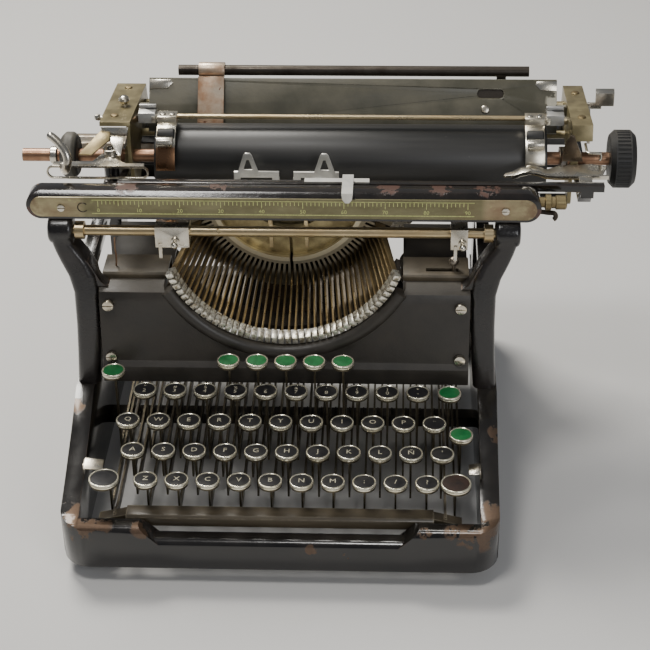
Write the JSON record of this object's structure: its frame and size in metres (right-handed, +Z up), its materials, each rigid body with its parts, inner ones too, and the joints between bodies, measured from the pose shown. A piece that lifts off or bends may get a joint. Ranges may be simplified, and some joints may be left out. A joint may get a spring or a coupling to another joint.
{
  "type": "desk typewriter",
  "caption": "Manual desk typewriter: open keyboard in a cast base, front-strike type basket, sliding carriage with platen, knobs, scale rail and margin stops.",
  "frame": {"origin": "on the table, under the middle of the whole machine's bounding box with the carriage at rest; the machine's own centre plane is at X = -24.2 mm", "axes": "+Z up, +Y from the keyboard to the rear, +X along the carriage to the typist's right"},
  "size_m": [0.3921, 0.2956, 0.2426],
  "materials": {
    "black_japan": "gloss black stoving enamel, chipped to brown metal at edges",
    "charcoal_enamel": "matt charcoal-brown enamel, worn",
    "rubber": "matt",
    "platen_rubber": "hard, satin, polished by use",
    "nickel": "nickel plate, slightly yellowed and spotted",
    "steel": "bare steel, brown with age",
    "brass": "dull brass, tarnished",
    "typebar_brass": "bare metal, golden with old oil",
    "segment_iron": "brown oiled iron with a polished ring",
    "black_key": "black paper face under clear top",
    "brown_key": "brown-black face under clear top",
    "green_key": "bright green face with cream ring",
    "space_bar": "khaki-brown, polished front edge",
    "scale_brass": "satin khaki-brass with filled graduations"
  },
  "bodies": {
    "frame": {"base_casting": "black_japan", "side_columns": "black_japan", "front_plate": "charcoal_enamel", "rubber_feet": "rubber", "frame_screws": "nickel", "front_rail": "black_japan", "scale_plate": "scale_brass", "margin_rod": "brass", "type_segment": "segment_iron", "typebars": "typebar_brass", "card_holder": "nickel", "fulcrum_shaft": "steel", "lever_guide": "black_japan", "ribbon_covers": "charcoal_enamel", "rear_frame": "black_japan", "rear_rail": "steel", "bell": "nickel"},
    "carriage": {"carriage_frame": "black_japan", "escapement_rack": "steel", "carriage_guard": "nickel", "carriage_pointer": "nickel"},
    "platen_frame": {"end_brackets": "charcoal_enamel", "paper_table": "charcoal_enamel", "table_rod": "steel"},
    "platen": {"platen": "platen_rubber", "platen_shaft": "brass", "right_knob": "black_key", "left_knob": "black_key"},
    "feed_roller_front": {"feed_roller_front": "rubber"},
    "feed_roller_rear": {"feed_roller_rear": "rubber"},
    "paper_bail": {"bail_rod": "steel", "bail_fingers": "nickel"},
    "paper_guide": {"paper_guide": "nickel"},
    "return_lever": {"return_lever": "nickel"},
    "carriage_release": {"carriage_release": "nickel"},
    "paper_release": {"paper_release": "steel"},
    "margin_stop_left": {"margin_stop_left": "nickel"},
    "margin_stop_right": {"margin_stop_right": "nickel"},
    "keys_number_row": {"keys_number_row": "black_key"},
    "keys_upper_row": {"keys_upper_row": "black_key"},
    "keys_home_row": {"keys_home_row": "black_key"},
    "keys_lower_row": {"keys_lower_row": "black_key"},
    "key_h": {"key_h": "black_key"},
    "shift_key_left": {"shift_key_left": "black_key"},
    "shift_key_right": {"shift_key_right": "brown_key"},
    "backspace_key": {"backspace_key": "green_key"},
    "margin_release_key": {"margin_release_key": "green_key"},
    "shift_lock_key": {"shift_lock_key": "green_key"},
    "tab_key_1": {"tab_key_1": "green_key"},
    "tab_key_2": {"tab_key_2": "green_key"},
    "tab_key_3": {"tab_key_3": "green_key"},
    "tab_key_4": {"tab_key_4": "green_key"},
    "tab_key_5": {"tab_key_5": "green_key"},
    "space_bar": {"space_bar": "space_bar"},
    "typebar_h": {"typebar_h": "typebar_brass"},
    "ribbon_vibrator": {"ribbon_vibrator": "brass"},
    "ribbon_selector": {"ribbon_selector": "steel"},
    "ribbon_spool_left": {"ribbon_spool_left": "steel"},
    "ribbon_spool_right": {"ribbon_spool_right": "steel"},
    "spring_drum": {"spring_drum": "charcoal_enamel"}
  },
  "joints": [
    {"name": "carriage_slide", "type": "slide", "parent": "frame", "child": "carriage", "axis": [1, 0, 0], "range_m": [-0.13, 0.05]},
    {"name": "platen_lift", "type": "slide", "parent": "carriage", "child": "platen_frame", "axis": [0, 0, 1], "range_m": [0, 0.0061]},
    {"name": "platen_turn", "type": "hinge", "parent": "platen_frame", "child": "platen", "pos_m": [0.0153, 0.0365, 0.2], "axis": [1, 0, 0], "continuous": true},
    {"name": "feed_front_turn", "type": "hinge", "parent": "platen_frame", "child": "feed_roller_front", "pos_m": [0.0153, 0.03956, 0.17086], "axis": [1, 0, 0], "continuous": true},
    {"name": "feed_rear_turn", "type": "hinge", "parent": "platen_frame", "child": "feed_roller_rear", "pos_m": [0.0153, 0.0605, 0.18319], "axis": [1, 0, 0], "continuous": true},
    {"name": "bail_lift", "type": "hinge", "parent": "platen_frame", "child": "paper_bail", "pos_m": [0.0153, 0.06, 0.2145], "axis": [1, 0, 0], "range_deg": [-48, 0]},
    {"name": "paper_guide_slide", "type": "slide", "parent": "platen_frame", "child": "paper_guide", "axis": [1, 0, 0], "range_m": [-0.01, 0.185]},
    {"name": "return_lever_turn", "type": "hinge", "parent": "carriage", "child": "return_lever", "pos_m": [-0.1362, 0.019, 0.209], "axis": [0, 0, 1], "range_deg": [0, 12], "stiffness_Nm_per_rad": 0.3, "springref_deg": -11.46},
    {"name": "carriage_release_turn", "type": "hinge", "parent": "platen_frame", "child": "carriage_release", "pos_m": [0.1688, 0.068, 0.2], "axis": [1, 0, 0], "range_deg": [0, 10], "stiffness_Nm_per_rad": 0.3, "springref_deg": -11.46},
    {"name": "paper_release_turn", "type": "hinge", "parent": "platen_frame", "child": "paper_release", "pos_m": [0.1508, 0.0365, 0.2], "axis": [1, 0, 0], "range_deg": [0, 12]},
    {"name": "margin_stop_left_slide", "type": "slide", "parent": "frame", "child": "margin_stop_left", "axis": [1, 0, 0], "range_m": [-0.043, 0.047]},
    {"name": "margin_stop_right_slide", "type": "slide", "parent": "frame", "child": "margin_stop_right", "axis": [1, 0, 0], "range_m": [-0.092, 0.008]},
    {"name": "number_row_press", "type": "hinge", "parent": "frame", "child": "keys_number_row", "pos_m": [-0.0242, 0.0835, 0.046], "axis": [1, 0, 0], "range_deg": [0, 4], "stiffness_Nm_per_rad": 2, "springref_deg": -11.46},
    {"name": "upper_row_press", "type": "hinge", "parent": "frame", "child": "keys_upper_row", "pos_m": [-0.0242, 0.0835, 0.046], "axis": [1, 0, 0], "range_deg": [0, 4], "stiffness_Nm_per_rad": 2, "springref_deg": -11.46},
    {"name": "home_row_press", "type": "hinge", "parent": "frame", "child": "keys_home_row", "pos_m": [-0.0242, 0.0835, 0.046], "axis": [1, 0, 0], "range_deg": [0, 4], "stiffness_Nm_per_rad": 2, "springref_deg": -11.46},
    {"name": "lower_row_press", "type": "hinge", "parent": "frame", "child": "keys_lower_row", "pos_m": [-0.0242, 0.0835, 0.046], "axis": [1, 0, 0], "range_deg": [0, 3.6], "stiffness_Nm_per_rad": 2, "springref_deg": -11.46},
    {"name": "key_h_press", "type": "hinge", "parent": "frame", "child": "key_h", "pos_m": [-0.0242, 0.0835, 0.046], "axis": [1, 0, 0], "range_deg": [0, 4], "stiffness_Nm_per_rad": 0.25, "springref_deg": -11.46},
    {"name": "shift_left_press", "type": "hinge", "parent": "frame", "child": "shift_key_left", "pos_m": [-0.0242, 0.0835, 0.046], "axis": [1, 0, 0], "range_deg": [0, 4], "stiffness_Nm_per_rad": 0.25, "springref_deg": -11.46},
    {"name": "shift_right_press", "type": "hinge", "parent": "frame", "child": "shift_key_right", "pos_m": [-0.0242, 0.0835, 0.046], "axis": [1, 0, 0], "range_deg": [0, 4], "stiffness_Nm_per_rad": 0.25, "springref_deg": -11.46},
    {"name": "backspace_press", "type": "hinge", "parent": "frame", "child": "backspace_key", "pos_m": [-0.0242, 0.0835, 0.046], "axis": [1, 0, 0], "range_deg": [0, 3.5], "stiffness_Nm_per_rad": 0.25, "springref_deg": -11.46},
    {"name": "margin_release_press", "type": "hinge", "parent": "frame", "child": "margin_release_key", "pos_m": [-0.0242, 0.0835, 0.046], "axis": [1, 0, 0], "range_deg": [0, 4], "stiffness_Nm_per_rad": 0.25, "springref_deg": -11.46},
    {"name": "shift_lock_press", "type": "hinge", "parent": "frame", "child": "shift_lock_key", "pos_m": [-0.0242, 0.0835, 0.046], "axis": [1, 0, 0], "range_deg": [0, 4], "stiffness_Nm_per_rad": 0.25, "springref_deg": -11.46},
    {"name": "tab_key_1_press", "type": "hinge", "parent": "frame", "child": "tab_key_1", "pos_m": [-0.0242, 0.0565, 0.062], "axis": [1, 0, 0], "range_deg": [0, 3], "stiffness_Nm_per_rad": 0.2, "springref_deg": -11.46},
    {"name": "tab_key_2_press", "type": "hinge", "parent": "frame", "child": "tab_key_2", "pos_m": [-0.0242, 0.0565, 0.062], "axis": [1, 0, 0], "range_deg": [0, 3], "stiffness_Nm_per_rad": 0.2, "springref_deg": -11.46},
    {"name": "tab_key_3_press", "type": "hinge", "parent": "frame", "child": "tab_key_3", "pos_m": [-0.0242, 0.0565, 0.062], "axis": [1, 0, 0], "range_deg": [0, 3], "stiffness_Nm_per_rad": 0.2, "springref_deg": -11.46},
    {"name": "tab_key_4_press", "type": "hinge", "parent": "frame", "child": "tab_key_4", "pos_m": [-0.0242, 0.0565, 0.062], "axis": [1, 0, 0], "range_deg": [0, 3], "stiffness_Nm_per_rad": 0.2, "springref_deg": -11.46},
    {"name": "tab_key_5_press", "type": "hinge", "parent": "frame", "child": "tab_key_5", "pos_m": [-0.0242, 0.0565, 0.062], "axis": [1, 0, 0], "range_deg": [0, 3], "stiffness_Nm_per_rad": 0.2, "springref_deg": -11.46},
    {"name": "space_bar_press", "type": "hinge", "parent": "frame", "child": "space_bar", "pos_m": [-0.0242, 0.0835, 0.046], "axis": [1, 0, 0], "range_deg": [0, 1.8], "stiffness_Nm_per_rad": 1.2, "springref_deg": -11.46},
    {"name": "typebar_h_swing", "type": "hinge", "parent": "frame", "child": "typebar_h", "pos_m": [-0.02242, 0.0202, 0.12603], "axis": [-0.9996, 0, -0.0287], "range_deg": [0, 94.1]},
    {"name": "ribbon_vibrator_lift", "type": "slide", "parent": "frame", "child": "ribbon_vibrator", "axis": [0, 0, 1], "range_m": [0, 0.0081]},
    {"name": "ribbon_selector_turn", "type": "hinge", "parent": "frame", "child": "ribbon_selector", "pos_m": [0.0813, -0.0217, 0.106], "axis": [0, 1, 0], "range_deg": [-14, 0]},
    {"name": "spool_left_turn", "type": "hinge", "parent": "frame", "child": "ribbon_spool_left", "pos_m": [-0.1177, 0.0195, 0.127], "axis": [0, 0, 1], "continuous": true},
    {"name": "spool_right_turn", "type": "hinge", "parent": "frame", "child": "ribbon_spool_right", "pos_m": [0.0693, 0.0195, 0.127], "axis": [0, 0, 1], "continuous": true},
    {"name": "spring_drum_turn", "type": "hinge", "parent": "frame", "child": "spring_drum", "pos_m": [-0.1042, 0.1345, 0.15], "axis": [0, 1, 0], "range_deg": [-280, 165]}
  ],
  "couplings": [
    {"joint": "feed_front_turn", "follows": "platen_turn", "ratio": -2.625},
    {"joint": "feed_rear_turn", "follows": "platen_turn", "ratio": -2.625},
    {"joint": "shift_left_press", "follows": "platen_lift", "rad_per_m": 11.4},
    {"joint": "shift_right_press", "follows": "platen_lift", "rad_per_m": 11.4},
    {"joint": "typebar_h_swing", "follows": "key_h_press", "ratio": 23.5},
    {"joint": "ribbon_vibrator_lift", "follows": "key_h_press", "m_per_rad": 0.1146},
    {"joint": "spool_right_turn", "follows": "spool_left_turn", "ratio": 1},
    {"joint": "spring_drum_turn", "follows": "carriage_slide", "rad_per_m": 37}
  ]
}
